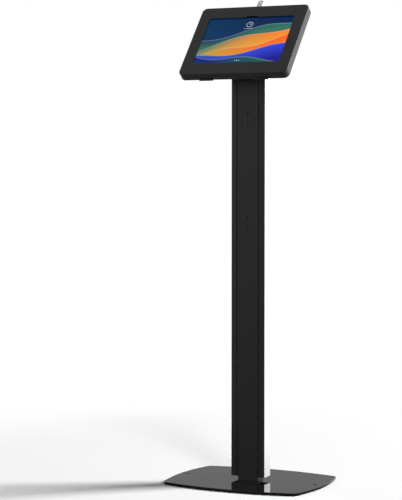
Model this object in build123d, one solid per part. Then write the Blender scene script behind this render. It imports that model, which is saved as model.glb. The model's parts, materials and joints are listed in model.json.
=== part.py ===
from build123d import *
import os

os.makedirs("parts", exist_ok=True)

# Lengths are in millimetres, angles in degrees. The stand faces -Y and its origin is on the floor.

# Base plate, its feet and its holes
base_width = 390.0
base_depth = 306.0
base_thickness = 5.0
base_side_bow = 18.0
base_front_bow = 24.0
base_corner_radius = 20.0
base_edge_chamfer = 0.8
pad_height = 2.0
pad_radius = 12.0
pad_inset_x = 55.0
pad_inset_y = 45.0
anchor_inset = 22.4
anchor_radius = 4.5
anchor_chamfer = 0.6

# Column: one aluminium extrusion between a front and a rear cover
column_length = 1010.0
column_width = 89.0
column_depth = 37.6
column_gap = 9.0
front_cover_thickness = 3.0
front_panel_width = 54.0
groove_width = 4.6
groove_depth = 1.3
strip_drop = 0.6
front_corner_radius = 0.8
web_thickness = 3.0
side_wall = 2.5
rear_cover_thickness = 2.0
rear_cover_side_gap = 0.25
lip_width = 6.0
lip_thickness = 1.8
rear_leg_thickness = 1.6
rear_barb_reach = 1.3
rear_barb_depth = 1.2
clip_gap = 0.3
hook_place_x = 35.5
hook_neck_width = 2.4
hook_head_width = 6.0
hook_head_depth = 1.4
hook_side_gap = 0.3
hook_depth_gap = 0.2
slot_lip = 1.5
slot_back_wall = 2.0
slot_side_wall = 2.0

# Accessory inserts on the front of the column
accessory_pitch = 28.6
accessory_drop = 127.3
accessory_step = 255.7
insert_radius = 3.1
insert_bore_radius = 2.05
insert_length = 5.0
snug_gap = 0.04

# Column foot
foot_width = 53.5
foot_front_setback = 2.5
foot_box_depth = 26.0
foot_box_wall = 4.0
foot_box_height = 110.0
foot_screw_low = 30.0
foot_screw_high = 85.0
base_screw_place_x = 17.0
base_screw_place_y = 10.0
base_screw_length = 13.0

# Screws: M6 into the foot, M5 through the column, M4 on the head
m6_radius = 3.0
m6_head_radius = 6.0
m6_head_depth = 3.2
m5_radius = 2.5
m5_head_radius = 4.6
m5_head_depth = 2.4
m4_radius = 2.0
m4_head_radius = 4.0
m4_head_height = 2.6
screw_clearance = 0.2
thread_clearance = 0.05
socket_share = 0.62
socket_depth_share = 0.7
column_screw_length = 9.0
column_screw_place_x = 16.0

# Column top cap and neck bracket
cap_thickness = 2.5
cap_leg_thickness = 2.0
cap_leg_length = 12.0
cap_leg_width = 14.0
cap_slot_place_x = 34.0
cap_slot_width = 9.0
cap_slot_depth = 16.0
cap_corner_radius = 1.2
neck_width = 48.0
neck_depth = 26.0
neck_shelf = 4.0
neck_tongue_thickness = 4.0
neck_tongue_length = 90.0
neck_screw_low = 70.0
neck_screw_high = 25.0
neck_ear = 4.0
neck_slot_gap = 0.3
pivot_height = 21.0

# Tilt joint
tilt_angle = 50.0
bolt_radius = 4.0
bolt_running_gap = 0.08
washer_radius = 8.0
washer_thickness = 1.6
washer_hole_gap = 0.2
bolt_head_radius = 7.0
bolt_head_height = 4.4
nut_flats = 13.0
nut_height = 6.5
bolt_overrun = 2.0
friction_washer_radius = 11.0
friction_washer_thickness = 1.0
tilt_ear = 4.0
tilt_ear_radius = 12.0
tilt_plate_size = 64.0
tilt_plate_thickness = 3.0
tilt_plate_corner = 6.0
pivot_to_plate = 22.0

# Turn joint between the tilt bracket and the mounting plate
swivel_washer_radius = 18.0
swivel_washer_thickness = 1.0
swivel_head_radius = 9.0
swivel_head_height = 4.5
stop_pin_radius = 2.5
stop_pin_place = 24.0
stop_pin_angle = -90.0
stop_slot_gap = 0.3
turn_limit = 90.0
turn_margin = 0.5
mount_plate_size = 116.0
mount_plate_thickness = 3.0
mount_plate_corner = 8.0
mount_pitch = 100.0
spacer_length = 7.0
spacer_radius = 6.0
clinch_nut_radius = 4.5
clinch_nut_height = 3.0
head_screw_overrun = 1.0

# Enclosure, sized by the borders round its window
window_width = 228.5
window_height = 150.4
window_corner = 1.5
window_bevel = 0.5
side_border = 29.0
end_border = 36.6
head_corner = 13.0
shell_wall = 2.0
shell_depth = 13.9
seam_gap = 0.3
cover_depth = 8.0
edge_radius = 1.8
lip_height = 2.5
lip_root = 4.0
lip_wall = 1.5
lip_side_gap = 0.5
notch_width = 30.0
notch_height = 3.4
grommet_place = 84.0
grommet_hole_radius = 10.0
grommet_flange = 3.0
grommet_flange_thickness = 1.5
grommet_bore_radius = 7.0

# Tablet and what holds it
tablet_side_overlap = 10.0
tablet_end_overlap = 14.5
tablet_thickness = 7.0
tablet_corner = 18.0
tablet_edge_radius = 1.2
glass_thickness = 0.7
glass_inset = 0.5
glass_to_cover = 1.5
gasket_thickness = 1.2
gasket_width = 7.0
gasket_inset = 1.5
foam_gap = 0.3
foam_reach = 38.0
foam_wall = 12.0
foam_below_glass = 1.2

# Cover hinges
hinge_inner_x = 55.3
hinge_outer_x = 91.0
knuckle_radius = 2.2
knuckle_length = 5.7
knuckle_gap = 0.3
hinge_drop = 1.2
hinge_pin_radius = 1.0
hinge_pin_gap = 0.05
lug_thickness = 1.7
lug_lap = 4.0

# Lock, cam, catch and key
lock_height = 7.2
lock_flange_radius = 6.4
lock_flange_thickness = 1.5
lock_body_radius = 5.0
lock_body_length = 12.75
lock_hole_gap = 0.15
plug_radius = 3.5
plug_gap = 0.05
plug_head_radius = 4.3
plug_head_height = 1.0
plug_end_gap = 0.2
tenon_size = 4.0
tenon_gap = 0.05
clip_thickness = 1.0
clip_width = 16.0
clip_height = 9.4
clip_groove = 0.7
clip_seat_gap = 0.1
cam_thickness = 2.0
cam_reach = 11.0
cam_hub_radius = 4.5
cam_lead = 1.0
cam_trail = 4.0
cam_screw_radius = 1.25
cam_screw_head_radius = 2.8
cam_screw_head_height = 1.6
cam_screw_length = 4.0
catch_place = 6.0
catch_thickness = 1.5
catch_foot = 12.0
catch_margin = 4.0
catch_slot_gap = 0.5
catch_floor_gap = 0.6
key_thickness = 2.0
key_blade_width = 5.0
key_blade_depth = 12.5
key_slot_gap = 0.1
key_slot_depth = 13.0
key_stem_length = 5.0
key_bow_width = 14.0
key_bow_length = 26.0
key_bow_corner = 5.0
key_hole_radius = 2.2
key_hole_inset = 4.8

# Overrun of every cutting tool past the wall that it cuts
overrun = 1.0

# Heights and depths of the standing part, worked out from the sizes above
base_top = pad_height + base_thickness
anchor_place = base_width / 2 - anchor_inset
column_bottom = base_top + column_gap
column_top = column_bottom + column_length
cap_top = column_top + cap_thickness
shelf_top = cap_top + neck_shelf
pivot_z = shelf_top + pivot_height
front_y = -column_depth / 2
back_y = column_depth / 2
web_front = front_y + front_cover_thickness
web_back = web_front + web_thickness
rear_seat = back_y - rear_cover_thickness
lip_inner_x = column_width / 2 - side_wall - lip_width
hook_slot_depth = hook_head_depth + 2 * hook_depth_gap
boss_depth = slot_lip + hook_slot_depth + slot_back_wall - web_thickness
boss_width = hook_head_width + 2 * (hook_side_gap + slot_side_wall)
neck_ear_inner = neck_width / 2 - neck_ear
tilt_ear_outer = neck_ear_inner - friction_washer_thickness
tilt_ear_inner = tilt_ear_outer - tilt_ear

# Levels of the head, along the normal of the screen, from the tilt axis
level_tilt_plate = pivot_to_plate
level_washer = level_tilt_plate + tilt_plate_thickness
level_mount = level_washer + swivel_washer_thickness
level_spacer = level_mount + mount_plate_thickness
level_shell = level_spacer + spacer_length
level_floor = level_shell + shell_wall
level_split = level_shell + shell_depth
level_cover = level_split + seam_gap
level_face = level_cover + cover_depth
level_inside = level_face - shell_wall
level_glass_top = level_inside - glass_to_cover
level_glass = level_glass_top - glass_thickness
level_tablet = level_glass_top - tablet_thickness
level_lock = level_shell + lock_height

# Outlines of the head and the tablet
head_width = window_width + 2 * side_border
head_height = window_height + 2 * end_border
tablet_width = window_width + 2 * tablet_side_overlap
tablet_height = window_height + 2 * tablet_end_overlap

# Places along the height of the head, from the tilt axis
head_top = head_height / 2
head_bottom = -head_height / 2
hinge_v = head_bottom - hinge_drop
hinge_w = level_shell + knuckle_radius
lock_face = head_top + lock_flange_thickness
body_end = head_top - lock_body_length
cam_top = body_end - plug_end_gap
cam_low = cam_top - cam_thickness
plug_face = lock_face + plug_head_height

head_place = Location((0, 0, pivot_z), (tilt_angle, 0, 0))


def block(x0, x1, y0, y1, z0, z1):
    """Box between two values on each axis."""
    return Pos((x0 + x1) / 2, (y0 + y1) / 2, (z0 + z1) / 2) * Box(x1 - x0, y1 - y0, z1 - z0)


def rect(x0, x1, y0, y1):
    """Flat rectangle between two values on each axis."""
    return Pos((x0 + x1) / 2, (y0 + y1) / 2) * Rectangle(x1 - x0, y1 - y0)


def rod(radius, z0, z1):
    """Round rod along Z."""
    return Pos(0, 0, (z0 + z1) / 2) * Cylinder(radius, z1 - z0)


def along_x(shape):
    """Turn a shape's Z axis to X."""
    return Rot(0, 90, 0) * shape


def along_y(shape):
    """Turn a shape's Z axis to Y."""
    return Rot(-90, 0, 0) * shape


def slab(width, height, corner, z0, z1):
    """Plate with rounded corners between two levels."""
    return Pos(0, 0, z0) * extrude(RectangleRounded(width, height, corner), z1 - z0)


def hexagon(flats, z0, z1):
    """Hexagonal prism along Z, given across its flats."""
    return Pos(0, 0, z0) * extrude(RegularPolygon(flats / 2, 6, major_radius=False), z1 - z0)


def corners(place_x, place_y):
    """The four mirrored places of a pattern."""
    return [(sx * place_x, sy * place_y) for sx in (-1, 1) for sy in (-1, 1)]


def spread(shape, places):
    """Copies of a shape moved in X and Y."""
    return [Pos(x, y, 0) * shape for x, y in places]


def mirrored(shape):
    """A shape and its mirror image across the YZ plane."""
    return [shape, mirror(shape, Plane.YZ)]


def countersunk(radius, head_radius, head_depth, length):
    """Countersunk socket screw, its head flush with Z = 0 and its shank along +Z."""
    head = Pos(0, 0, head_depth / 2) * Cone(head_radius, radius, head_depth)
    socket = hexagon(2 * radius * socket_share, 0, head_depth * socket_depth_share)
    return head + rod(radius, head_depth / 2, length) - socket


def countersink(radius, head_radius, head_depth, length):
    """Cutter for a countersunk screw: its hole, and its seat widened by the same clearance."""
    gap = screw_clearance
    seat = Pos(0, 0, head_depth / 2) * Cone(head_radius + gap, radius + gap, head_depth)
    return seat + rod(radius + gap, -overrun, length)


# Base


def base_outline():
    """Rectangle whose four sides bow outwards, with rounded corners."""
    x = base_width / 2 - base_side_bow
    y = base_depth / 2 - base_front_bow
    sides = [
        ThreePointArc((-x, -y), (0, -base_depth / 2), (x, -y)),
        ThreePointArc((x, -y), (base_width / 2, 0), (x, y)),
        ThreePointArc((x, y), (0, base_depth / 2), (-x, y)),
        ThreePointArc((-x, y), (-base_width / 2, 0), (-x, -y)),
    ]
    face = make_face(sides)
    return fillet(face.vertices(), base_corner_radius)


def base_plate():
    """Steel plate with anchor holes and countersunk holes for the foot screws."""
    plate = Pos(0, 0, pad_height) * extrude(base_outline(), base_thickness)
    plate = chamfer(plate.faces().sort_by(Axis.Z)[-1].edges(), base_edge_chamfer)
    cutter = Pos(0, 0, pad_height) * countersink(m6_radius, m6_head_radius, m6_head_depth, base_top)
    for place in spread(cutter, corners(base_screw_place_x, base_screw_place_y)):
        plate -= place
    flare = anchor_radius + anchor_chamfer
    mouth = Pos(0, 0, base_top - anchor_chamfer / 2) * Cone(anchor_radius, flare, anchor_chamfer)
    anchor = rod(anchor_radius, pad_height - overrun, base_top + overrun) + mouth
    for place in spread(anchor, [(-anchor_place, 0), (anchor_place, 0)]):
        plate -= place
    return plate


def base_feet():
    """Four round rubber pads under the plate."""
    x = base_width / 2 - pad_inset_x
    y = base_depth / 2 - pad_inset_y
    return spread(rod(pad_radius, 0, pad_height), corners(x, y))


def base_screws():
    """Screws from under the plate into the foot."""
    screw = countersunk(m6_radius, m6_head_radius, m6_head_depth, base_screw_length)
    return spread(Pos(0, 0, pad_height) * screw, corners(base_screw_place_x, base_screw_place_y))


def column_foot():
    """Foot block on the plate, with an upright box that stands inside the column."""
    x = foot_width / 2
    y0 = front_y + foot_front_setback
    foot = block(-x, x, y0, -y0, base_top, column_bottom)
    top = column_bottom + foot_box_height
    box_back = web_back + foot_box_depth
    foot += block(-x, x, web_back, box_back, base_top, top)
    wall = foot_box_wall
    foot -= block(-x + wall, x - wall, web_back + wall, box_back - wall, column_bottom, top + overrun)
    tapped = rod(m6_radius + thread_clearance, base_top - overrun, pad_height + base_screw_length)
    for place in spread(tapped, corners(base_screw_place_x, base_screw_place_y)):
        foot -= place
    thread = along_y(rod(m5_radius + thread_clearance, web_back - overrun, web_back + wall + overrun))
    for height in (foot_screw_low, foot_screw_high):
        for side in (-1, 1):
            foot -= Pos(side * column_screw_place_x, 0, column_bottom + height) * thread
    return foot


# Column


def column_section():
    """Section of the extrusion: front web, two sides, rear lips and two slots for the front cover."""
    x = column_width / 2
    inner = x - side_wall
    section = rect(-x, x, web_front, web_back)
    wall = rect(inner, x, web_front, back_y)
    lip = rect(lip_inner_x, inner, rear_seat - lip_thickness, rear_seat)
    boss = rect(hook_place_x - boss_width / 2, inner, web_back, web_back + boss_depth)
    for piece in mirrored(wall + lip + boss):
        section += piece
    for slot in mirrored(hook_slot()):
        section -= slot
    return section


def hook_slot():
    """Undercut slot of the extrusion for one hook of the front cover."""
    neck = hook_neck_width / 2 + hook_side_gap
    head = hook_head_width / 2 + hook_side_gap
    lip_end = web_front + slot_lip
    slot = rect(hook_place_x - neck, hook_place_x + neck, web_front - overrun, lip_end)
    return slot + rect(hook_place_x - head, hook_place_x + head, lip_end, lip_end + hook_slot_depth)


def column_screw_places():
    """Places on the column's front web of the countersunk screws, at its foot and its neck."""
    heights = [column_bottom + foot_screw_low, column_bottom + foot_screw_high]
    heights += [column_top - neck_screw_low, column_top - neck_screw_high]
    return [(side * column_screw_place_x, z) for z in heights for side in (-1, 1)]


def accessory_places():
    """Heights of the four accessory inserts, in two pairs below the top of the column."""
    upper = column_top - accessory_drop
    return [z + side * accessory_pitch / 2 for z in (upper - accessory_step, upper) for side in (-1, 1)]


def column_extrusion():
    """Aluminium column, open at the back between its lips."""
    column = Pos(0, 0, column_bottom) * extrude(column_section(), column_length)
    cutter = along_y(countersink(m5_radius, m5_head_radius, m5_head_depth, web_thickness + overrun))
    for x, z in column_screw_places():
        column -= Pos(x, web_front, z) * cutter
    pocket = along_y(rod(insert_radius + snug_gap, web_front - overrun, front_y + insert_length))
    for z in accessory_places():
        column -= Pos(0, 0, z) * pocket
    return column


def front_cover_section():
    """Section of the front cover: flat panel, two grooves, sloping strips and two hooks."""
    x = column_width / 2
    panel = front_panel_width / 2
    half = [
        (panel, front_y),
        (panel + groove_width / 2, front_y + groove_depth),
        (panel + groove_width, front_y),
        (x, front_y + strip_drop),
        (x, web_front),
    ]
    outline = half + [(-px, py) for px, py in reversed(half)]
    face = make_face(Polyline(*outline, close=True))
    outer = [v for v in face.vertices() if abs(v.X) > x - strip_drop and v.Y < front_y + 2 * strip_drop]
    face = fillet(outer, front_corner_radius)
    hook_end = web_front + slot_lip + hook_depth_gap
    neck = rect(hook_place_x - hook_neck_width / 2, hook_place_x + hook_neck_width / 2, web_front, hook_end)
    head_x = hook_head_width / 2
    head = rect(hook_place_x - head_x, hook_place_x + head_x, hook_end, hook_end + hook_head_depth)
    for piece in mirrored(neck + head):
        face += piece
    return face


def column_front_cover():
    """Black front cover that slides into the extrusion's slots."""
    cover = Pos(0, 0, column_bottom) * extrude(front_cover_section(), column_length)
    hole = along_y(rod(insert_radius + snug_gap, front_y - overrun, web_front + overrun))
    for z in accessory_places():
        cover -= Pos(0, 0, z) * hole
    return cover


def column_rear_cover():
    """Rear cover that snaps over the lips of the extrusion."""
    x = column_width / 2 - side_wall - rear_cover_side_gap
    section = rect(-x, x, rear_seat, back_y)
    leg_x = lip_inner_x - clip_gap
    leg_end = rear_seat - lip_thickness - clip_gap
    leg = rect(leg_x - rear_leg_thickness, leg_x, leg_end - rear_barb_depth, rear_seat)
    barb = rect(leg_x, leg_x + rear_barb_reach, leg_end - rear_barb_depth, leg_end)
    for piece in mirrored(leg + barb):
        section += piece
    return Pos(0, 0, column_bottom) * extrude(section, column_length)


def accessory_inserts():
    """Threaded inserts, flush with the front cover and pressed into pockets of the web."""
    insert = along_y(ring(insert_radius, insert_bore_radius, front_y, front_y + insert_length))
    return [Pos(0, 0, z) * insert for z in accessory_places()]


def column_screws(heights):
    """Countersunk screws through the front web at the given heights."""
    screw = along_y(countersunk(m5_radius, m5_head_radius, m5_head_depth, column_screw_length))
    return [Pos(x, web_front, z) * screw for x, z in column_screw_places() if z in heights]


def foot_screws():
    """Screws from the column into the foot box."""
    return column_screws([column_bottom + foot_screw_low, column_bottom + foot_screw_high])


def neck_screws():
    """Screws from the column into the tongue of the neck bracket."""
    return column_screws([column_top - neck_screw_low, column_top - neck_screw_high])


def column_top_cap():
    """Plastic cap with cable slots and a slot for the neck's tongue."""
    cap = slab(column_width, column_depth, cap_corner_radius, column_top, cap_top)
    leg_x = column_width / 2 - side_wall - clip_gap
    leg = block(leg_x - cap_leg_thickness, leg_x, -cap_leg_width / 2, cap_leg_width / 2,
                column_top - cap_leg_length, column_top)
    for piece in mirrored(leg):
        cap += piece
    x = neck_width / 2 + neck_slot_gap
    cap -= block(-x, x, web_back - neck_slot_gap, web_back + neck_tongue_thickness + neck_slot_gap,
                 column_top - overrun, cap_top + overrun)
    slot_x = cap_slot_width / 2
    slot_y = cap_slot_depth / 2
    slot = block(cap_slot_place_x - slot_x, cap_slot_place_x + slot_x, -slot_y, slot_y,
                 column_top - cap_leg_length - overrun, cap_top + overrun)
    for piece in mirrored(slot):
        cap -= piece
    return cap


# Neck and tilt joint


def ear(half_width, low, high, x0, x1):
    """Upright ear in the YZ plane with a round end about the X axis."""
    tab = block(x0, x1, -half_width, half_width, low, high)
    return tab + along_x(rod(half_width, x0, x1))


def neck_bracket():
    """Steel bracket: tongue in the column, shelf on the cap and two ears for the tilt bolt."""
    x = neck_width / 2
    y = neck_depth / 2
    bracket = block(-x, x, -y, y, cap_top, shelf_top)
    tongue_low = column_top - neck_tongue_length
    bracket += block(-x, x, web_back, web_back + neck_tongue_thickness, tongue_low, cap_top)
    for side in mirrored(ear(y, shelf_top - pivot_z, 0, neck_ear_inner, x)):
        bracket += Pos(0, 0, pivot_z) * side
    hole = along_x(rod(bolt_radius + bolt_running_gap, -x - overrun, x + overrun))
    bracket -= Pos(0, 0, pivot_z) * hole
    depth = web_back + neck_tongue_thickness + overrun
    thread = along_y(rod(m5_radius + thread_clearance, web_back - overrun, depth))
    for side in (-1, 1):
        for drop in (neck_screw_low, neck_screw_high):
            bracket -= Pos(side * column_screw_place_x, 0, column_top - drop) * thread
    return bracket


def at_pivot(shape):
    """Move a shape from the tilt axis at the origin to its place."""
    return Pos(0, 0, pivot_z) * shape


def tilt_bolt():
    """Button-head bolt along the tilt axis."""
    x = neck_width / 2 + washer_thickness
    shank = along_x(rod(bolt_radius, -x - nut_height - bolt_overrun, x))
    head = along_x(rod(bolt_head_radius, x, x + bolt_head_height))
    head = fillet(head.edges().sort_by(Axis.X)[-1], bolt_head_height / 2)
    socket = hexagon(2 * bolt_radius * socket_share, x + bolt_head_height / 2, x + bolt_head_height + overrun)
    return at_pivot(shank + head - along_x(socket))


def tilt_nut():
    """Lock nut of the tilt bolt."""
    x = neck_width / 2 + washer_thickness
    nut = hexagon(nut_flats, -x - nut_height, -x)
    nut -= rod(bolt_radius + thread_clearance, -x - nut_height - overrun, overrun - x)
    return at_pivot(along_x(nut))


def ring(radius, hole_radius, z0, z1):
    """Washer between two levels."""
    return rod(radius, z0, z1) - rod(hole_radius, z0 - overrun, z1 + overrun)


def tilt_washers():
    """Steel washers outside the neck ears."""
    x = neck_width / 2
    washer = along_x(ring(washer_radius, bolt_radius + washer_hole_gap, x, x + washer_thickness))
    return [at_pivot(piece) for piece in mirrored(washer)]


def friction_washers():
    """Nylon washers between the neck ears and the tilt ears."""
    hole = bolt_radius + washer_hole_gap
    washer = along_x(ring(friction_washer_radius, hole, tilt_ear_outer, neck_ear_inner))
    return [at_pivot(piece) for piece in mirrored(washer)]


# Parts of the head, drawn about the tilt axis with Z along the normal of the screen


def tilt_bracket():
    """Plate under the head with two ears that turn on the tilt bolt."""
    plate = slab(tilt_plate_size, tilt_plate_size, tilt_plate_corner, level_tilt_plate, level_washer)
    for piece in mirrored(ear(tilt_ear_radius, 0, level_tilt_plate, tilt_ear_inner, tilt_ear_outer)):
        plate += piece
    x = tilt_ear_outer + overrun
    plate -= along_x(rod(bolt_radius + bolt_running_gap, -x, x))
    plate -= rod(bolt_radius + washer_hole_gap, level_tilt_plate - overrun, level_washer + overrun)
    pin_hole = rod(stop_pin_radius + thread_clearance, level_tilt_plate - overrun, level_washer + overrun)
    return plate - at_stop(pin_hole)


def swivel_bolt():
    """Bolt on which the mounting plate turns."""
    end = level_tilt_plate - nut_height - bolt_overrun / 2
    bolt = rod(bolt_radius, end, level_spacer)
    head = rod(swivel_head_radius, level_spacer, level_spacer + swivel_head_height)
    head = fillet(head.edges().sort_by(Axis.Z)[-1], swivel_head_height / 3)
    top = level_spacer + swivel_head_height
    return bolt + head - hexagon(2 * bolt_radius * socket_share, top - swivel_head_height / 2, top + overrun)


def swivel_nut():
    """Lock nut under the tilt plate."""
    low = level_tilt_plate - nut_height
    nut = hexagon(nut_flats, low, level_tilt_plate)
    return nut - rod(bolt_radius + thread_clearance, low - overrun, level_tilt_plate + overrun)


def swivel_washer():
    """Nylon washer between the tilt plate and the mounting plate."""
    return ring(swivel_washer_radius, bolt_radius + washer_hole_gap, level_washer, level_mount)


def at_stop(shape):
    """Move a shape from the turn axis to the place of the stop pin."""
    return Rot(0, 0, stop_pin_angle) * Pos(stop_pin_place, 0, 0) * shape


def turn_stop_pin():
    """Pin fixed in the tilt plate that runs in the slot of the mounting plate."""
    return at_stop(rod(stop_pin_radius, level_tilt_plate, level_spacer))


def stop_slot():
    """Arc slot of the mounting plate, as wide as the pin and its gap."""
    half = turn_limit + turn_margin
    arc = CenterArc((0, 0), stop_pin_place, stop_pin_angle - half, 2 * half)
    slot = SlotArc(arc, 2 * (stop_pin_radius + stop_slot_gap))
    return Pos(0, 0, level_mount - overrun) * extrude(slot, mount_plate_thickness + 2 * overrun)


def mount_places():
    """The four fixing points of the enclosure."""
    return corners(mount_pitch / 2, mount_pitch / 2)


def mount_plate():
    """Square plate that carries the enclosure."""
    plate = slab(mount_plate_size, mount_plate_size, mount_plate_corner, level_mount, level_spacer)
    plate -= rod(bolt_radius + bolt_running_gap, level_mount - overrun, level_spacer + overrun)
    hole = rod(m4_radius + screw_clearance, level_mount - overrun, level_spacer + overrun)
    for place in spread(hole, mount_places()):
        plate -= place
    return plate - stop_slot()


def mount_spacers():
    """Spacers between the mounting plate and the rear shell."""
    return spread(ring(spacer_radius, m4_radius + screw_clearance, level_spacer, level_shell), mount_places())


def mount_screws():
    """Pan-head screws through plate, spacers and shell."""
    head = rod(m4_head_radius, level_mount - m4_head_height, level_mount)
    head = fillet(head.edges().sort_by(Axis.Z)[0], m4_head_height / 3)
    top = level_floor + clinch_nut_height + head_screw_overrun
    low = level_mount - m4_head_height
    socket = hexagon(2 * m4_radius * socket_share, low - overrun, low + m4_head_height / 2)
    return spread(head + rod(m4_radius, level_mount, top) - socket, mount_places())


def clinch_nuts():
    """Nuts fixed inside the rear shell."""
    nut = ring(clinch_nut_radius, m4_radius + thread_clearance, level_floor, level_floor + clinch_nut_height)
    return spread(nut, mount_places())


def knuckle_spans():
    """X spans of the two fixed knuckles of one hinge."""
    return (hinge_inner_x, hinge_inner_x + knuckle_length), (hinge_outer_x - knuckle_length, hinge_outer_x)


def at_hinge(shape):
    """Move a shape from an axis along X at the origin to the cover hinge."""
    return Pos(0, hinge_v, hinge_w) * shape


def lug_span():
    """X span of the cover's lug, between the fixed knuckles."""
    return hinge_inner_x + knuckle_length + knuckle_gap, hinge_outer_x - knuckle_length - knuckle_gap


def lug_notch():
    """Cutter through the lower wall of the rear shell for one lug and its knuckle."""
    x0, x1 = lug_span()
    return block(x0 - knuckle_gap, x1 + knuckle_gap, head_bottom - knuckle_radius, head_bottom + shell_wall,
                 level_shell - overrun, level_split + overrun)


def fixed_knuckle(x0, x1):
    """Knuckle under the rear shell, joined to its lower wall."""
    barrel = at_hinge(along_x(rod(knuckle_radius, x0, x1)))
    return barrel + block(x0, x1, hinge_v, head_bottom, level_shell, hinge_w + knuckle_radius)


def pin_bore():
    """Cutter along the hinge axis for both hinge pins."""
    x = hinge_outer_x + overrun
    return at_hinge(along_x(rod(hinge_pin_radius + hinge_pin_gap, -x, x)))


def shell_lip():
    """Inner lip of the rear shell that reaches into the front cover."""
    root = 2 * shell_wall
    tip = root + 2 * lip_side_gap
    hole = tip + 2 * lip_wall
    low = level_split - lip_root
    top = level_split + lip_height
    lip = slab(head_width - root, head_height - root, head_corner - root / 2, low, level_split)
    lip += slab(head_width - tip, head_height - tip, head_corner - tip / 2, low, top)
    lip -= slab(head_width - hole, head_height - hole, head_corner - hole / 2, low - overrun, top + overrun)
    gap_x = lock_body_radius + catch_foot
    return lip - block(-gap_x, gap_x, 0, head_top, low - overrun, top + overrun)


def rear_shell():
    """Rear half of the enclosure: floor, side walls, lip and fixed hinge knuckles."""
    shell = slab(head_width, head_height, head_corner, level_shell, level_split)
    shell = fillet(shell.faces().sort_by(Axis.Z)[0].edges(), edge_radius)
    inner = 2 * shell_wall
    shell -= slab(head_width - inner, head_height - inner, head_corner - shell_wall,
                  level_floor, level_split + overrun)
    for notch in mirrored(lug_notch()):
        shell -= notch
    shell += shell_lip()
    for span in knuckle_spans():
        for piece in mirrored(fixed_knuckle(*span)):
            shell += piece
    shell -= pin_bore()
    hole = rod(m4_radius + screw_clearance, level_shell - overrun, level_floor + overrun)
    for place in spread(hole, mount_places()):
        shell -= place
    grommet_hole = rod(grommet_hole_radius, level_shell - overrun, level_floor + overrun)
    shell -= Pos(0, -grommet_place, 0) * grommet_hole
    lock_hole = rod(lock_body_radius + lock_hole_gap, head_top - shell_wall - overrun, head_top + overrun)
    return shell - lock_frame(lock_hole)


def hinge_pins():
    """Pins of the two cover hinges."""
    pin = at_hinge(along_x(rod(hinge_pin_radius, hinge_inner_x, hinge_outer_x)))
    return mirrored(pin)


def cable_grommet():
    """Rubber grommet in the floor of the rear shell."""
    radius = grommet_hole_radius + grommet_flange
    low = level_shell - grommet_flange_thickness
    top = level_floor + grommet_flange_thickness
    ring_body = rod(grommet_hole_radius - snug_gap, low, top)
    ring_body += rod(radius, low, level_shell) + rod(radius, level_floor, top)
    return Pos(0, -grommet_place, 0) * (ring_body - rod(grommet_bore_radius, low - overrun, top + overrun))


def tablet_body(grow, low, top):
    """Outline of the tablet, grown on every side, between two levels."""
    return slab(tablet_width + 2 * grow, tablet_height + 2 * grow, tablet_corner + grow, low, top)


def foam_corners():
    """Foam blocks under and around the tablet's corners."""
    top = level_glass_top - foam_below_glass
    inner = tablet_width / 2 - foam_reach
    inner_v = tablet_height / 2 - foam_reach
    outer = tablet_width / 2 + foam_gap + foam_wall
    outer_v = tablet_height / 2 + foam_gap + foam_wall
    foam = block(inner, outer, inner_v, outer_v, level_floor, top)
    foam -= tablet_body(foam_gap, level_tablet - foam_gap, top + overrun)
    halves = mirrored(foam)
    return halves + [mirror(piece, Plane.XZ) for piece in halves]


def tablet_housing():
    """Aluminium housing of the tablet."""
    housing = tablet_body(0, level_tablet, level_glass)
    return fillet(housing.faces().sort_by(Axis.Z)[0].edges(), tablet_edge_radius)


def tablet_screen():
    """Front glass of the tablet."""
    return tablet_body(-glass_inset, level_glass, level_glass_top)


def lock_frame(shape):
    """Move a shape from an axis along Z at the origin to the lock's axis along the head's height."""
    return Pos(0, 0, level_lock) * along_y(shape)


def clip_span():
    """Levels of the spring clip, just inside the top wall."""
    top = head_top - shell_wall - clip_seat_gap
    return top - clip_thickness, top


def lock_body():
    """Barrel of the cam lock in the top wall, with a groove for its clip."""
    body = rod(lock_body_radius, body_end, head_top) + rod(lock_flange_radius, head_top, lock_face)
    low, top = clip_span()
    groove = lock_body_radius - clip_groove
    body -= ring(lock_flange_radius, groove, low - clip_seat_gap, top + clip_seat_gap)
    return lock_frame(body - rod(plug_radius + plug_gap, body_end - overrun, lock_face + overrun))


def lock_clip():
    """Spring clip that holds the barrel from inside the wall."""
    low, top = clip_span()
    x = clip_width / 2
    y = clip_height / 2
    throat = lock_body_radius - clip_groove + clip_seat_gap
    clip = block(-x, x, -y, y, low, top) - rod(throat, low - overrun, top + overrun)
    return lock_frame(clip - block(-throat, throat, 0, y + overrun, low - overrun, top + overrun))


def hinge_lug():
    """Lug of the front cover that fills the notch of the shell and ends in a knuckle."""
    x0, x1 = lug_span()
    barrel = at_hinge(along_x(rod(knuckle_radius, x0, x1)))
    strap = block(x0, x1, head_bottom, head_bottom + lug_thickness, hinge_w, level_cover + lug_lap)
    return barrel + strap


def window_cutter():
    """Window, with the camera notch above it."""
    low = level_inside - overrun
    window = slab(window_width, window_height, window_corner, low, level_face + overrun)
    notch_top = window_height / 2 + notch_height
    notch = SlotCenterToCenter(notch_width - 2 * notch_height, 2 * notch_height)
    notch = Pos(0, notch_top - notch_height, low) * extrude(notch, level_face + overrun - low)
    return window + notch


def front_cover():
    """Front cover: face with a bevelled window, skirt and hinge lugs."""
    cover = slab(head_width, head_height, head_corner, level_cover, level_face)
    cover = fillet(cover.faces().sort_by(Axis.Z)[-1].edges(), edge_radius)
    inner = 2 * shell_wall
    cover -= slab(head_width - inner, head_height - inner, head_corner - shell_wall,
                  level_cover - overrun, level_inside)
    cover -= window_cutter()
    window_edges = cover.faces().sort_by(Axis.Z)[-1].inner_wires()[0].edges()
    cover = chamfer(window_edges, window_bevel)
    for piece in mirrored(hinge_lug()):
        cover += piece
    return cover - pin_bore()


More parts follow.
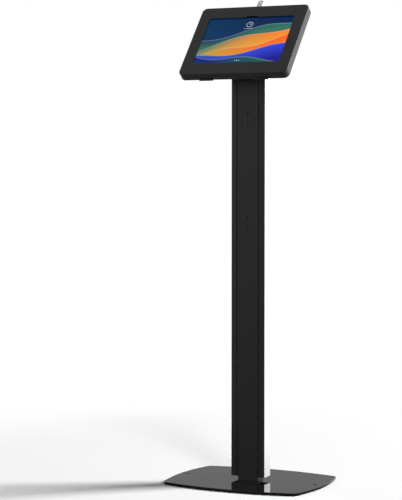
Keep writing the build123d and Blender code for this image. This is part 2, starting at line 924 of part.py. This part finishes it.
def window_gasket():
    """Foam frame inside the window."""
    inner_w = window_width + 2 * gasket_inset
    inner_h = window_height + 2 * gasket_inset + 2 * notch_height
    outer_w = inner_w + 2 * gasket_width
    outer_h = inner_h + 2 * gasket_width
    low = level_inside - gasket_thickness
    frame = slab(outer_w, outer_h, window_corner + gasket_inset + gasket_width, low, level_inside)
    return frame - slab(inner_w, inner_h, window_corner + gasket_inset, low - overrun, level_inside + overrun)


def cover_catch():
    """Bracket on the front cover with a slot that the cam enters."""
    low = cam_low - catch_slot_gap - catch_margin
    top = cam_top + catch_slot_gap + catch_margin
    x1 = catch_place + catch_thickness
    leg = block(catch_place, x1, low, top, level_floor + catch_floor_gap, level_inside)
    foot_low = level_inside - catch_thickness
    foot = block(catch_place, catch_place + catch_foot, low, top, foot_low, level_inside)
    reach = (cam_reach ** 2 + cam_trail ** 2 - catch_place ** 2) ** 0.5
    slot = block(catch_place - overrun, x1 + overrun, cam_low - catch_slot_gap, cam_top + catch_slot_gap,
                 level_lock - cam_lead - catch_slot_gap, level_lock + reach + catch_slot_gap)
    return leg + foot - slot


def lock_plug():
    """Turning plug with a keyway and a square end for the cam."""
    plug = rod(plug_radius, cam_top, lock_face) + rod(plug_head_radius, lock_face, plug_face)
    half = tenon_size / 2
    plug += block(-half, half, -half, half, cam_low, cam_top)
    slot_x = key_blade_width / 2 + key_slot_gap
    slot_y = key_thickness / 2 + key_slot_gap
    plug -= block(-slot_x, slot_x, -slot_y, slot_y, plug_face - key_slot_depth, plug_face + overrun)
    plug -= rod(cam_screw_radius + thread_clearance, cam_low - overrun, cam_low + cam_screw_length)
    return lock_frame(plug)


def lock_cam():
    """Flat cam that points at the screen when unlocked."""
    cam = rod(cam_hub_radius, cam_low, cam_top)
    cam += block(-cam_trail, cam_lead, -cam_reach, 0, cam_low, cam_top)
    half = tenon_size / 2 + tenon_gap
    return lock_frame(cam - block(-half, half, -half, half, cam_low - overrun, cam_top + overrun))


def cam_screw():
    """Screw that holds the cam on the plug."""
    head = rod(cam_screw_head_radius, cam_low - cam_screw_head_height, cam_low)
    return lock_frame(head + rod(cam_screw_radius, cam_low, cam_low + cam_screw_length))


def key():
    """Flat key: blade in the plug, stem and rounded bow with a ring hole."""
    half = key_thickness / 2
    blade_x = key_blade_width / 2
    stem_top = plug_face + key_stem_length
    blade = block(-blade_x, blade_x, -half, half, plug_face - key_blade_depth, stem_top + key_bow_corner)
    bow = RectangleRounded(key_bow_width, key_bow_length, key_bow_corner)
    bow -= Pos(0, key_bow_length / 2 - key_hole_inset) * Circle(key_hole_radius)
    bow = extrude(bow, half, both=True)
    bow = Pos(0, stem_top + key_bow_length / 2, level_lock) * bow
    return lock_frame(blade) + bow


def write(name, shape):
    """Write one piece, or a group of like pieces, to its own file."""
    if isinstance(shape, list):
        shape = Compound(children=shape)
    export_step(shape, f"parts/{name}.step")


standing = [
    base_plate, base_feet, base_screws, column_foot, foot_screws, column_extrusion,
    column_front_cover, column_rear_cover, accessory_inserts, column_top_cap, neck_bracket,
    neck_screws, tilt_bolt, tilt_nut, tilt_washers, friction_washers,
]
tilted = [
    tilt_bracket, swivel_bolt, swivel_nut, swivel_washer, turn_stop_pin, mount_plate,
    mount_spacers, mount_screws, clinch_nuts, rear_shell, hinge_pins, cable_grommet, foam_corners,
    tablet_housing, tablet_screen, lock_body, lock_clip, front_cover, window_gasket, cover_catch,
    lock_plug, lock_cam, cam_screw, key,
]
for make in standing:
    write(make.__name__, make())
for make in tilted:
    shape = make()
    if isinstance(shape, list):
        write(make.__name__, [head_place * piece for piece in shape])
    else:
        write(make.__name__, head_place * shape)
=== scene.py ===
"""Adjustable tablet floor stand: finishes, floor, light and camera around the CAD frame."""
import json
from math import cos, radians, sin, tau

import bpy
from mathutils import Matrix, Vector


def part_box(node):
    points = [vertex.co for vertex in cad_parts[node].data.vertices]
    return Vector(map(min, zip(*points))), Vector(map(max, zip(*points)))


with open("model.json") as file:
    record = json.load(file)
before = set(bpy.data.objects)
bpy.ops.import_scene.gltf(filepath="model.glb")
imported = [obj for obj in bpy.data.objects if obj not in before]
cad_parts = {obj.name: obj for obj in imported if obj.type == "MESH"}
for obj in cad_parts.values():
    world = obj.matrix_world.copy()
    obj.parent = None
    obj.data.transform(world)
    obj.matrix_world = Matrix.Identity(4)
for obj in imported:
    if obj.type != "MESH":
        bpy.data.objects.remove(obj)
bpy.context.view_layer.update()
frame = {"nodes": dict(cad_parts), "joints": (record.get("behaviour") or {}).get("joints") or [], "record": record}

# Lengths are in metres. The stand faces -Y and its origin is on the floor.

# Camera, fitted to the outlines of the head, column and base: its place, how far it is turned
# left of +Y and tipped down, and its lens and sensor in millimetres
camera_place = Vector((1.79186, -3.91722, 0.78841))
camera_heading = radians(26.22)
camera_drop = radians(2.82)
camera_lens = 125.81
camera_sensor = 36.0

# Faces that meet at more than this angle keep a sharp edge
sharp_angle = radians(24.0)

# Nodes that have the black profile finish in place of their slot's
profile_nodes = ("column_front_cover", "column_rear_cover", "column_foot", "accessory_inserts")

# Pockets of the column's threaded inserts, from left and front to right and back, and the near-black tone painted
# in them as shade
pocket_low = (-0.0040, -0.0170)
pocket_high = (0.0040, -0.0130)
pocket_shade_tone = 0.003

# Usual span of a noise, outside which few places lie
noise_low = 0.3
noise_high = 0.7

# Blue that plated steel has above its red and green, in shares of its tone
plate_blue = 0.02

# Half width of the soft edge of round spots and of bars
spot_edge = 0.0002
bar_edge = 0.00015

# Display of the tablet: half its width, and its lower and upper edge from the screen's middle
display_half_width = 0.1162
display_low = -0.0790
display_high = 0.0757

# Camera lens above the display
lens_height = 0.0769
lens_radius = 0.0016
lens_color = (0.010, 0.014, 0.045, 1.0)
border_tone = 0.004

# Clock dial, with its hands in shares of its radius
dial_height = 0.0530
dial_radius = 0.0085
dial_line = 0.0009
minute_hand = 0.72
hour_hand = 0.5

# Date line below the dial's middle, and the row of dots below the screen's middle
date_drop = 0.0135
date_half = 0.0130
date_level = 0.7
dot_drop = 0.0660
dot_radius = 0.0011
dot_pitch = 0.0050

# Colour of dial, line and dots, and how much of it covers the picture
mark_color = (0.9, 0.93, 1.0, 1.0)
mark_level = 0.9

# The display lights the faces whose normal lies at least this near to the screen's own
facing = 0.9

# Picture: places and heights are in shares of the display. The sky's colours, and the sums of
# height and place between which it changes
sky_low = (0.000, 0.034, 0.110, 1.0)
sky_high = (0.000, 0.014, 0.080, 1.0)
sky_start = -0.2
sky_end = 0.7

# Bands: height at the middle, slope, swing, waves across, phase, left colour, right colour and
# deep colour
bands = [
    (0.22, 0.36, 0.055, 1.1, 0.4, (0.002, 0.045, 0.12), (0.02, 0.14, 0.13), (0.08, 0.22, 0.09)),
    (0.07, 0.46, 0.060, 0.9, 2.1, (0.05, 0.20, 0.12), (1.00, 0.22, 0.02), (0.85, 0.38, 0.03)),
    (-0.11, 0.40, 0.050, 1.2, 3.6, (0.45, 0.34, 0.04), (1.00, 0.11, 0.01), (0.95, 0.26, 0.02)),
    (-0.22, 0.22, 0.055, 1.0, 5.2, (0.04, 0.09, 0.50), (0.03, 0.06, 0.72), (0.01, 0.01, 0.28)),
    (-0.37, -0.10, 0.040, 1.3, 0.9, (0.004, 0.004, 0.20), (0.01, 0.14, 0.08), (0.01, 0.08, 0.09)),
]

# Places left and right of the middle where a band has its side colours, the depth at which it
# has its deep colour, and the depth over which its crest comes in
side_reach = 0.45
deep_depth = 0.30
crest_edge = 0.008

# Pale rim along a band's crest: colour, strength, and the depths over which it fades and comes in
rim_color = (0.85, 0.90, 1.0, 1.0)
rim_strength = 0.30
rim_fade = 0.022
rim_edge = 0.004

# Floor: half size, the distances over which it runs out into the white background, the tones
# that it varies between, its tone for light that bounces back up, its tone in reflections, and
# its roughness
floor_half = 14.0
floor_fade_start = 0.70
floor_fade_end = 1.50
floor_dark = 0.93
floor_light = 0.96
floor_bounce = 0.30
floor_mirrored = 0.20
floor_roughness = 0.9

# Lamps: name, bearing from +X, height above the horizon, distance, aim height, side, watts, and
# whether it shows in reflections
lamps = [
    ("key_lamp", -48.0, 44.0, 20.0, 0.4, 3.0, 710.0, False),
    ("side_lamp", 38.0, 26.0, 20.0, 0.2, 5.6, 4150.0, False),
    ("side_glint", 38.0, 26.0, 20.0, 0.2, 5.6, 3200.0, True),
    ("left_lamp", 176.0, 24.0, 20.0, 0.2, 4.0, 320.0, False),
]
world_light = 0.050

# Studio in reflections: its plain brightness, that overhead, and the heights between which the
# first gives way to the second
studio_plain = 0.37
studio_top = 0.54
overhead_start = 0.25
overhead_full = 0.70

# Soft boxes and the lit floor near to and far from the stand, in reflections: direction in plan,
# brightness, and how near to the direction a place must lie for it to begin and to be full
behind_right = (0.530, 0.848, 0.0)
left_box = ((-0.906, -0.423, 0.0), 1.35, 0.42, 0.92)
right_box = (behind_right, 1.50, 0.66, 0.90)
near_floor_box = (behind_right, 1.00, 0.66, 0.90)
far_floor_box = ((0.0, 1.0, 0.0), 1.0, 0.05, 0.60)

# Factors that drop the height of a direction, and plain colours
level_plane = (1.0, 1.0, 0.0)
black = (0.0, 0.0, 0.0, 1.0)
white = (1.0, 1.0, 1.0, 1.0)


class Graph:
    """Node tree of a material or of the world, with short calls for the nodes used here."""

    def __init__(self, name):
        self.material = bpy.data.materials.new(name)
        self.material.use_nodes = True
        self.tree = self.material.node_tree
        self.shader = self.tree.nodes["Principled BSDF"]
        self.output = self.tree.nodes["Material Output"]
        self.place = self.node("ShaderNodeTexCoord").outputs["Object"]

    @classmethod
    def over(cls, tree):
        """Graph over an emptied node tree that isn't a material's."""
        graph = cls.__new__(cls)
        graph.tree = tree
        tree.nodes.clear()
        return graph

    def node(self, kind, **values):
        """New node with its settings made."""
        node = self.tree.nodes.new(kind)
        for key, value in values.items():
            setattr(node, key, value)
        return node

    def feed(self, socket, value):
        """Link an output to a socket, or set the socket's own value."""
        if isinstance(value, bpy.types.NodeSocket):
            self.tree.links.new(value, socket)
        else:
            socket.default_value = value

    def feed_all(self, sockets, values):
        """Feed sockets in turn."""
        for socket, value in zip(sockets, values):
            self.feed(socket, value)

    def math(self, operation, *values):
        """Math node on up to three numbers or outputs."""
        node = self.node("ShaderNodeMath", operation=operation)
        self.feed_all(node.inputs, values)
        return node.outputs[0]

    def vector(self, operation, *values, result="Vector"):
        """Vector Math node on one or two vectors or outputs."""
        node = self.node("ShaderNodeVectorMath", operation=operation)
        self.feed_all(node.inputs, values)
        return node.outputs[result]

    def parts(self, vector):
        """Outputs for the x, y and z of a vector."""
        node = self.node("ShaderNodeSeparateXYZ")
        self.feed(node.inputs[0], vector)
        return node.outputs[0], node.outputs[1], node.outputs[2]

    def spread(self, value, low, high, to_low=0.0, to_high=1.0, smooth=False):
        """Map Range node from one span to another, clamped."""
        node = self.node("ShaderNodeMapRange")
        node.interpolation_type = "SMOOTHSTEP" if smooth else "LINEAR"
        names = ("Value", "From Min", "From Max", "To Min", "To Max")
        self.feed_all((node.inputs[name] for name in names), (value, low, high, to_low, to_high))
        return node.outputs[0]

    def graded(self, noise, low=0.0, high=1.0):
        """Number that runs from low to high over the usual span of a noise."""
        return self.spread(noise, noise_low, noise_high, low, high)

    def about(self, noise, middle, less, more):
        """Number that follows a noise from so much less to so much more than a middle value."""
        return self.graded(noise, middle - less, middle + more)

    def choose(self, factor, first, second):
        """Number that is the first where a factor is 0, and the second where it is 1."""
        return self.spread(factor, 0.0, 1.0, first, second)

    def largest(self, *outputs):
        """Largest of several outputs."""
        result = outputs[0]
        for output in outputs[1:]:
            result = self.math("MAXIMUM", result, output)
        return result

    def mix(self, factor, first, second):
        """Mix of two colours."""
        node = self.node("ShaderNodeMix", data_type="RGBA")
        self.feed_all((node.inputs[0], node.inputs[6], node.inputs[7]), (factor, first, second))
        return node.outputs[2]

    def shades(self, factor, tone, darker, lighter, tint=0.0):
        """Grey between two shares of a tone, with a slight blue tint at its lighter end."""
        return self.mix(factor, grey(tone * darker), grey(tone * lighter, tint))

    def stretched(self, scale):
        """Object coordinates stretched along the axes."""
        node = self.node("ShaderNodeMapping")
        self.feed(node.inputs["Vector"], self.place)
        node.inputs["Scale"].default_value = scale
        return node.outputs[0]

    def noise(self, scale, detail=2.0, coordinates=None):
        """Noise from 0 to 1 at a scale per metre."""
        node = self.node("ShaderNodeTexNoise")
        self.feed(node.inputs["Vector"], coordinates or self.place)
        node.inputs["Scale"].default_value = scale
        node.inputs["Detail"].default_value = detail
        return node.outputs["Fac"]

    def cells(self, scale):
        """Distance to the middle of the nearest cell, at a scale per metre."""
        node = self.node("ShaderNodeTexVoronoi")
        self.feed(node.inputs["Vector"], self.place)
        node.inputs["Scale"].default_value = scale
        return node.outputs["Distance"]

    def bump(self, height, strength, distance):
        """Bump from a height on the shader's normal."""
        node = self.node("ShaderNodeBump")
        self.feed(node.inputs["Height"], height)
        node.inputs["Strength"].default_value = strength
        node.inputs["Distance"].default_value = distance
        self.feed(self.shader.inputs["Normal"], node.outputs[0])

    def set(self, **values):
        """Values or links on the shader's sockets, by their names with underscores for spaces."""
        for key, value in values.items():
            self.feed(self.shader.inputs[key.replace("_", " ")], value)


def grey(value, tint=0.0):
    """Opaque grey with a slight blue tint."""
    return (value, value, value * (1 + tint), 1.0)


def opaque(color):
    """Colour with a full alpha."""
    return (*color, 1.0)


def powder_coat(name, tone, roughness, peel):
    """Satin black powder coat: fine orange peel over faint cloudiness."""
    g = Graph(name)
    cloud = g.graded(g.noise(scale=9.0))
    grain = g.noise(scale=1500.0, detail=3.0)
    g.set(Base_Color=g.shades(cloud, tone, darker=0.85, lighter=1.15, tint=0.04),
          Roughness=g.about(grain, roughness, less=0.05, more=0.05),
          Specular_IOR_Level=0.36)
    g.bump(g.math("ADD", grain, g.noise(scale=420.0)), strength=peel, distance=0.0004)
    return g.material


def black_extrusion(name):
    """Black finished profile with faint drawing lines along its length."""
    line_share = 0.4
    g = Graph(name)
    lines = g.noise(scale=1.0, coordinates=g.stretched((1400.0, 1400.0, 3.0)))
    g.set(Base_Color=g.mix(g.graded(lines), grey(0.0120), grey(0.0165, tint=0.05)),
          Roughness=g.graded(lines, low=0.36, high=0.46),
          Specular_IOR_Level=0.42)
    grain = g.math("ADD", g.math("MULTIPLY", lines, line_share), g.noise(scale=1200.0))
    g.bump(grain, strength=0.06, distance=0.0003)
    return g.material


def gloss_enamel(name):
    """Gloss black enamel with a slow ripple and faint dust."""
    g = Graph(name)
    dust = g.spread(g.noise(scale=900.0, detail=3.0), low=0.68, high=0.80)
    g.set(Base_Color=g.mix(dust, grey(0.0045), grey(0.012)),
          Roughness=g.graded(g.noise(scale=14.0), low=0.035, high=0.060),
          IOR=1.45)
    g.bump(g.noise(scale=110.0, detail=1.0), strength=0.015, distance=0.0004)
    return g.material


def satin_aluminium(name, tone, roughness, stretch, metallic=1.0, pockets=False):
    """Anodised aluminium with fine lines, and where asked painted shade of near black in the pockets of the
    inserts.
    """
    g = Graph(name)
    lines = g.noise(scale=1.0, detail=3.0, coordinates=g.stretched(stretch))
    color = g.shades(g.graded(lines), tone, darker=0.96, lighter=1.03)
    # Painted shade: where asked, the pockets of the inserts are darkened to a near-black tone
    if pockets:
        x, y = g.parts(g.place)[:2]
        color = g.mix(bar(g, x, y, pocket_low, pocket_high), color, grey(pocket_shade_tone))
    g.set(Base_Color=color, Metallic=metallic,
          Roughness=g.about(lines, roughness, less=0.04, more=0.05))
    g.bump(lines, strength=0.05, distance=0.0002)
    return g.material


def plated_steel(name, tone, roughness, warm=0.0, metallic=1.0):
    """Zinc or nickel plate with soft spangle and handling marks."""
    darker, lighter = 0.86, 1.0
    g = Graph(name)
    dark, light = ((tone * share, tone * share, tone * (share + plate_blue - warm), 1.0)
                   for share in (darker, lighter))
    g.set(Base_Color=g.mix(g.cells(scale=450.0), dark, light), Metallic=metallic,
          Roughness=g.about(g.noise(scale=260.0, detail=4.0), roughness, less=0.06, more=0.08))
    g.bump(g.noise(scale=1400.0), strength=0.04, distance=0.0002)
    return g.material


def rubber(name, tone, cell_scale, roughness):
    """Matt black rubber or foam with small cells."""
    g = Graph(name)
    pores = g.cells(scale=cell_scale)
    walls = g.spread(pores, low=0.0, high=0.6)
    g.set(Base_Color=g.shades(walls, tone, darker=0.7, lighter=1.2),
          Roughness=g.about(g.noise(scale=600.0), roughness, less=0.06, more=0.06))
    g.bump(pores, strength=0.25, distance=0.0004)
    return g.material


def moulded_plastic(name, color, roughness):
    """Moulded plastic with a fine spark-eroded texture."""
    darker = 0.9
    g = Graph(name)
    grain = g.noise(scale=2200.0)
    dark = opaque(part * darker for part in color)
    g.set(Base_Color=g.mix(g.noise(scale=30.0), dark, opaque(color)),
          Roughness=g.about(grain, roughness, less=0.05, more=0.05))
    g.bump(grain, strength=0.12, distance=0.0002)
    return g.material


def disc(g, x, y, place_x, place_y, radius):
    """Soft-edged round spot."""
    dx = g.math("SUBTRACT", x, place_x)
    dy = g.math("SUBTRACT", y, place_y)
    distance = g.math("SQRT", g.math("ADD", g.math("MULTIPLY", dx, dx), g.math("MULTIPLY", dy, dy)))
    return g.spread(distance, radius - spot_edge, radius + spot_edge, 1.0, 0.0)


def bar(g, x, y, low, high):
    """Soft-edged upright rectangle between two corners."""
    spans = []
    for value, least, most in ((x, low[0], high[0]), (y, low[1], high[1])):
        middle = (least + most) / 2
        half = (most - least) / 2
        away = g.math("ABSOLUTE", g.math("SUBTRACT", value, middle))
        spans.append(g.spread(away, half - bar_edge, half + bar_edge, 1.0, 0.0))
    return g.math("MULTIPLY", *spans)


def display_picture(g, across, up):
    """Rolling bands of colour under a dark sky, from places across and up the display."""
    color = g.mix(g.spread(g.math("ADD", up, across), sky_start, sky_end), sky_low, sky_high)
    for middle, slope, swing, waves, phase, left, right, deep in bands:
        wave = g.math("SINE", g.math("MULTIPLY_ADD", across, waves * tau, phase))
        crest = g.math("MULTIPLY_ADD", across, slope, g.math("MULTIPLY_ADD", wave, swing, middle))
        depth = g.math("SUBTRACT", crest, up)
        side = g.spread(across, -side_reach, side_reach, smooth=True)
        face = g.mix(side, opaque(left), opaque(right))
        face = g.mix(g.spread(depth, 0.0, deep_depth), face, opaque(deep))
        rim = g.math("MULTIPLY", g.spread(depth, 0.0, rim_fade, rim_strength, 0.0),
                     g.spread(depth, 0.0, rim_edge))
        face = g.mix(rim, face, rim_color)
        color = g.mix(g.spread(depth, 0.0, crest_edge, smooth=True), color, face)
    return color


def display_marks(g, x, y):
    """Plain clock dial with its hands, a date line and a row of dots."""
    ring = g.math("SUBTRACT", disc(g, x, y, 0.0, dial_height, dial_radius),
                  disc(g, x, y, 0.0, dial_height, dial_radius - dial_line))
    half = dial_line / 2
    minutes = bar(g, x, y, (-half, dial_height), (half, dial_height + dial_radius * minute_hand))
    hours = bar(g, x, y, (0.0, dial_height - half), (dial_radius * hour_hand, dial_height + half))
    date_low = dial_height - date_drop
    date = bar(g, x, y, (-date_half, date_low), (date_half, date_low + dial_line))
    dots = [disc(g, x, y, place, -dot_drop, dot_radius) for place in (-dot_pitch, 0.0, dot_pitch)]
    return g.largest(ring, minutes, hours, g.math("MULTIPLY", date, date_level), *dots)


def faces_along(g, normal):
    """1 on faces that look along a normal of the object, and 0 on the others."""
    turned = g.node("ShaderNodeVectorTransform", vector_type="NORMAL",
                    convert_from="WORLD", convert_to="OBJECT")
    g.feed(turned.inputs[0], g.node("ShaderNodeNewGeometry").outputs["True Normal"])
    along = g.vector("DOT_PRODUCT", turned.outputs[0], normal, result="Value")
    return g.math("GREATER_THAN", along, facing)


def screen_glass(name):
    """Cover glass over a lit display with a black border, and a small camera lens above it."""
    g = Graph(name)
    low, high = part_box("tablet_screen")
    centre = (low + high) / 2
    normal = next(Vector(j["axis"]) for j in frame["joints"] if j["name"] == "head_turn")
    x, back, rise = g.parts(g.place)
    # Height within the plane of the screen
    y = g.math("MULTIPLY", g.math("SUBTRACT", back, centre.y), normal.z)
    y = g.math("ADD", y, g.math("MULTIPLY", g.math("SUBTRACT", rise, centre.z), -normal.y))
    across = g.math("DIVIDE", x, 2 * display_half_width)
    middle = (display_high + display_low) / 2
    up = g.math("DIVIDE", g.math("SUBTRACT", y, middle), display_high - display_low)
    picture = display_picture(g, across, up)
    marks = g.math("MULTIPLY", display_marks(g, x, y), mark_level)
    picture = g.mix(marks, picture, mark_color)
    lit = bar(g, x, y, (-display_half_width, display_low), (display_half_width, display_high))
    lit = g.math("MULTIPLY", lit, faces_along(g, normal))
    lens = disc(g, x, y, 0.0, lens_height, lens_radius)
    border = g.mix(lens, grey(border_tone), lens_color)
    g.set(Base_Color=g.mix(lit, border, grey(border_tone)),
          Emission_Color=g.mix(lit, black, picture),
          Emission_Strength=1.0,
          Specular_IOR_Level=0.10,
          Roughness=g.graded(g.noise(scale=20.0), low=0.05, high=0.09))
    return g.material


def make_finishes():
    """Finishes by material slot, and the black profile finish."""
    return {
        "black_powder_coat": powder_coat(
            "powder_coat_black", tone=0.037, roughness=0.38, peel=0.08),
        "gloss_black": gloss_enamel("gloss_enamel_black"),
        # The silver profile gets painted shade, near black, in the pockets of its inserts
        "silver_aluminium": satin_aluminium(
            "anodised_silver", tone=0.76, roughness=0.46, stretch=(1300.0, 1300.0, 3.0),
            metallic=0.82, pockets=True),
        "black_rubber": rubber("rubber_black", tone=0.016, cell_scale=900.0, roughness=0.75),
        "black_foam": rubber("foam_black", tone=0.020, cell_scale=1600.0, roughness=0.92),
        "zinc_steel": plated_steel("zinc_plate", tone=0.60, roughness=0.36),
        "nylon": moulded_plastic("nylon_natural", color=(0.66, 0.64, 0.58), roughness=0.45),
        "black_plastic": moulded_plastic(
            "plastic_black", color=(0.014, 0.014, 0.015), roughness=0.50),
        "tablet_aluminium": satin_aluminium(
            "tablet_shell", tone=0.50, roughness=0.40, stretch=(500.0, 500.0, 500.0)),
        "screen_glass": screen_glass("lit_screen"),
        "nickel_plate": plated_steel(
            "nickel_plate", tone=0.94, roughness=0.34, warm=0.01, metallic=0.55),
        "column_profile": black_extrusion("column_profile_black"),
    }


def finish_nodes():
    """Gives every CAD node its finish, and smooth round faces."""
    finishes = make_finishes()
    slots = {entry["node"]: entry["material_slot"] for entry in frame["record"]["subparts"]}
    for name, node in frame["nodes"].items():
        slot = "column_profile" if name in profile_nodes else slots[name]
        node.data.materials.clear()
        node.data.materials.append(finishes[slot])
        node.data.shade_smooth()
        node.data.set_sharp_from_angle(angle=sharp_angle)


def plan_direction(g, place):
    """Direction in plan of a place."""
    return g.vector("NORMALIZE", g.vector("MULTIPLY", place, level_plane))


def box_level(g, way, box, plain):
    """Level that rises from plain to the box's brightness towards a soft box."""
    direction, bright, begin, full = box
    near = g.vector("DOT_PRODUCT", way, direction, result="Value")
    return g.spread(near, begin, full, plain, bright, smooth=True)


def studio_level(g, way):
    """Brightness of the studio in reflections, by a direction in plan."""
    return g.largest(*(box_level(g, way, box, studio_plain) for box in (left_box, right_box)))


def floor_material():
    """White floor that keeps its shadows near the stand and runs out into the white background."""
    g = Graph("floor_white")
    rays = g.node("ShaderNodeLightPath").outputs
    way = plan_direction(g, g.place)
    tone = g.mix(g.noise(scale=3.0), grey(floor_dark), grey(floor_light))
    tone = g.mix(rays["Is Diffuse Ray"], tone, grey(floor_bounce))
    tone = g.mix(rays["Is Glossy Ray"], tone, box_level(g, way, near_floor_box, floor_mirrored))
    g.set(Base_Color=tone, Roughness=floor_roughness, Specular_IOR_Level=0.0)
    distance = g.vector("LENGTH", g.place, result="Value")
    far = g.spread(distance, floor_fade_start, floor_fade_end, smooth=True)
    seen = g.largest(rays["Is Camera Ray"], rays["Is Glossy Ray"], rays["Is Transmission Ray"])
    mirrored = box_level(g, way, far_floor_box, floor_mirrored)
    mirrored = g.math("MULTIPLY", studio_level(g, way), mirrored)
    glow = g.node("ShaderNodeEmission")
    g.feed(glow.inputs["Strength"], g.choose(rays["Is Camera Ray"], mirrored, 1.0))
    blend = g.node("ShaderNodeMixShader")
    g.feed_all(blend.inputs, (g.math("MULTIPLY", far, seen), g.shader.outputs[0], glow.outputs[0]))
    g.feed(g.output.inputs["Surface"], blend.outputs[0])
    return g.material


def make_floor():
    """Large floor at the height of the feet."""
    h = floor_half
    mesh = bpy.data.meshes.new("floor")
    mesh.from_pydata([(-h, -h, 0.0), (h, -h, 0.0), (h, h, 0.0), (-h, h, 0.0)], [], [(0, 1, 2, 3)])
    mesh.materials.append(floor_material())
    floor = bpy.data.objects.new("floor", mesh)
    bpy.context.scene.collection.objects.link(floor)


def make_world():
    """White background for the camera, a soft studio in reflections, and a plain level of light."""
    world = bpy.data.worlds.new("studio")
    bpy.context.scene.world = world
    world.use_nodes = True
    g = Graph.over(world.node_tree)
    rays = g.node("ShaderNodeLightPath").outputs
    direction = g.node("ShaderNodeTexCoord").outputs["Generated"]
    height = g.parts(direction)[2]
    level = studio_level(g, plan_direction(g, direction))
    studio = g.spread(height, overhead_start, overhead_full, level, studio_top, smooth=True)
    mirrored = g.largest(rays["Is Glossy Ray"], rays["Is Transmission Ray"])
    strength = g.choose(mirrored, world_light, studio)
    light = g.node("ShaderNodeBackground")
    light.inputs["Color"].default_value = white
    g.feed(light.inputs["Strength"], g.choose(rays["Is Camera Ray"], strength, 1.0))
    g.feed(g.node("ShaderNodeOutputWorld").inputs["Surface"], light.outputs[0])


def make_lamps():
    """Soft area lamps."""
    for name, bearing, rise, distance, aim, side, power, mirrored in lamps:
        data = bpy.data.lights.new(name, "AREA")
        data.size = side
        data.energy = power
        lamp = bpy.data.objects.new(name, data)
        lamp.visible_glossy = mirrored
        level = Vector((cos(radians(bearing)), sin(radians(bearing)), 0.0)) * cos(radians(rise))
        away = level + Vector((0.0, 0.0, sin(radians(rise))))
        lamp.location = Vector((0.0, 0.0, aim)) + away * distance
        lamp.rotation_euler = (-away).to_track_quat("-Z", "Y").to_euler()
        bpy.context.scene.collection.objects.link(lamp)


def make_camera():
    """Camera at the photograph's viewing angle."""
    data = bpy.data.cameras.new("camera")
    data.lens = camera_lens
    data.sensor_width = camera_sensor
    camera = bpy.data.objects.new("camera", data)
    right = Vector((cos(camera_heading), sin(camera_heading), 0.0))
    level = Vector((-sin(camera_heading), cos(camera_heading), 0.0))
    forward = level * cos(camera_drop) - Vector((0.0, 0.0, sin(camera_drop)))
    up = right.cross(forward)
    turn = Matrix((right, up, -forward)).transposed().to_4x4()
    camera.matrix_world = Matrix.Translation(camera_place) @ turn
    bpy.context.scene.collection.objects.link(camera)
    bpy.context.scene.camera = camera


finish_nodes()
make_floor()
make_world()
make_lamps()
make_camera()
bpy.context.scene.view_settings.view_transform = "Standard"
